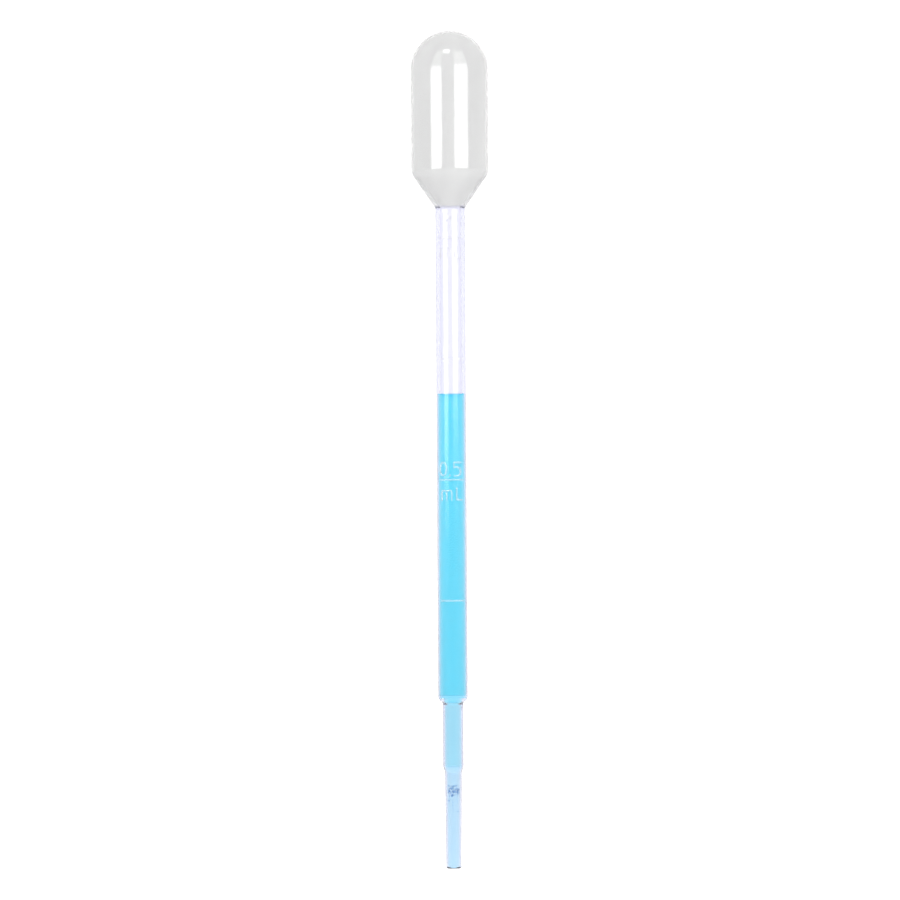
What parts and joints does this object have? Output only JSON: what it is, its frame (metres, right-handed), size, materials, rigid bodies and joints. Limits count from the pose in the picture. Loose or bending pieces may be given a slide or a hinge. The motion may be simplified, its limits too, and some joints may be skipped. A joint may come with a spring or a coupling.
{
  "type": "graduated transfer pipette",
  "caption": "Soft translucent transfer pipette with a squeeze bulb, raised graduations on a straight barrel, a stepped tip and blue liquid drawn up into it.",
  "frame": {"origin": "on the pipette's axis, at the top of the straight barrel where the bulb's cone begins, which is where the pipette hangs in a rack", "axes": "+Z along the axis up to the bulb, -Z down to the tip's mouth, -Y the side with the raised graduations, +X to the right as they are read"},
  "size_m": [0.0144, 0.0144, 0.1549],
  "materials": {
    "moulding": "satin",
    "raised_marks": "satin",
    "liquid": "gloss",
    "dye": "matte"
  },
  "bodies": {
    "root": {"barrel": "moulding", "lower_stem": "moulding", "tip": "moulding", "bulb_shoulder": "moulding", "bulb_body": "moulding", "bulb_dome": "moulding", "line_1_ml": "raised_marks", "line_0_75_ml": "raised_marks", "line_0_5_ml": "raised_marks", "line_0_25_ml": "raised_marks", "numeral_1": "raised_marks", "numeral_0_5": "raised_marks", "unit_ml_upper": "raised_marks", "unit_ml_lower": "raised_marks", "liquid_in_barrel": "liquid", "liquid_in_lower_stem": "liquid", "liquid_in_tip": "liquid", "dye_sediment": "dye"},
    "left_wall": {"left_press_wall": "moulding"},
    "right_wall": {"right_press_wall": "moulding"},
    "liquid_surface": {"meniscus": "liquid"}
  },
  "joints": [
    {"name": "left_wall_press", "type": "slide", "parent": "root", "child": "left_wall", "axis": [1, 0, 0], "range_m": [0, 0.0024], "stiffness_N_per_m": 3200},
    {"name": "right_wall_press", "type": "slide", "parent": "root", "child": "right_wall", "axis": [-1, 0, 0], "range_m": [0, 0.0024]},
    {"name": "liquid_level", "type": "slide", "parent": "root", "child": "liquid_surface", "axis": [0, 0, -1], "range_m": [0, 0.0533], "deforming": ["liquid_in_barrel"]}
  ],
  "couplings": [
    {"joint": "right_wall_press", "follows": "left_wall_press", "ratio": 1},
    {"joint": "liquid_level", "follows": "left_wall_press", "ratio": 22.181}
  ]
}
